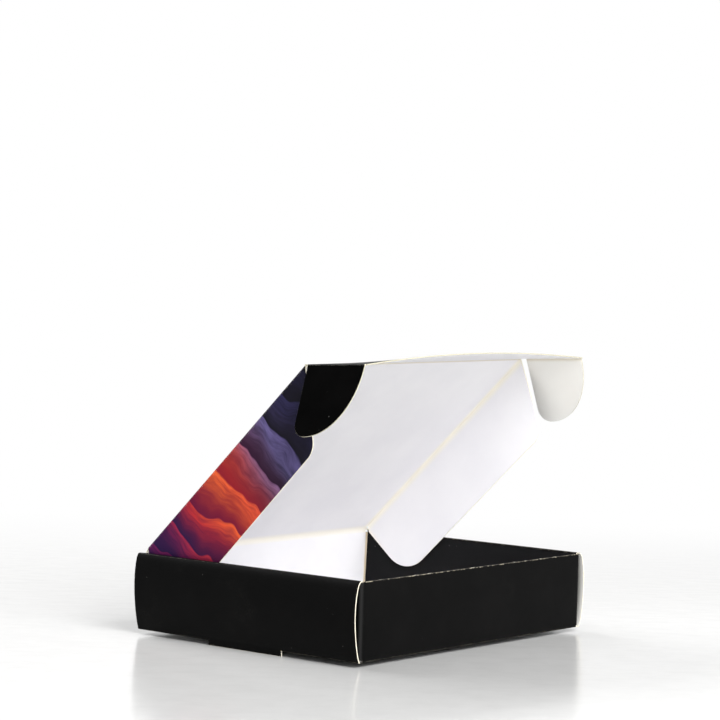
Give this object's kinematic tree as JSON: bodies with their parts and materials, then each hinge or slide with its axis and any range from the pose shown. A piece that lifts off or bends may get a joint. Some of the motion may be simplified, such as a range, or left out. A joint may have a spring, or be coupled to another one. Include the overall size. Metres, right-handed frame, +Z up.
{
  "type": "mailer box",
  "caption": "Shallow mailer box of folded board with rolled side walls, foot tabs, a half-open lid with side flaps, a tuck flap and round ears.",
  "frame": {"origin": "on the table under the middle of the tray, which is the middle of the box's footprint", "axes": "+Z up, +X along the lid's crease to the right seen from the front, +Y from the front wall to the hinge"},
  "size_m": [0.2092, 0.15, 0.1524],
  "materials": {
    "black_board": "matt coated",
    "white_board": "matt uncoated",
    "print_board": "satin coated"
  },
  "bodies": {
    "tray": {"tray": "black_board"},
    "lid": {"lid": "white_board"},
    "side_flap_right": {"side_flap_right": "white_board"},
    "side_flap_left": {"side_flap_left": "print_board"},
    "tuck_flap": {"tuck_flap": "black_board"},
    "ear_right": {"ear_right": "white_board"},
    "ear_left": {"ear_left": "black_board"}
  },
  "joints": [
    {"name": "lid_hinge", "type": "hinge", "parent": "tray", "child": "lid", "pos_m": [0, 0.0732, 0.0434], "axis": [-1, 0, 0], "range_deg": [-27.8, 136.2]},
    {"name": "side_flap_right_fold", "type": "hinge", "parent": "lid", "child": "side_flap_right", "pos_m": [0.08995, 0.07299, 0.04318], "axis": [0, 0.7218, -0.6921], "range_deg": [0, 75]},
    {"name": "side_flap_left_fold", "type": "hinge", "parent": "lid", "child": "side_flap_left", "pos_m": [-0.08995, 0.07299, 0.04318], "axis": [0, -0.7218, 0.6921], "range_deg": [0, 75]},
    {"name": "tuck_flap_fold", "type": "hinge", "parent": "lid", "child": "tuck_flap", "pos_m": [0, -0.03397, 0.14576], "axis": [1, 0, 0], "range_deg": [-40.8, 64.2]},
    {"name": "ear_right_fold", "type": "hinge", "parent": "tuck_flap", "child": "ear_right", "pos_m": [0.0913, -0.03397, 0.14576], "axis": [0, 0.9986, -0.0523], "range_deg": [-70, 20]},
    {"name": "ear_left_fold", "type": "hinge", "parent": "tuck_flap", "child": "ear_left", "pos_m": [-0.0913, -0.03397, 0.14576], "axis": [0, -0.9986, 0.0523], "range_deg": [-70, 20]}
  ]
}
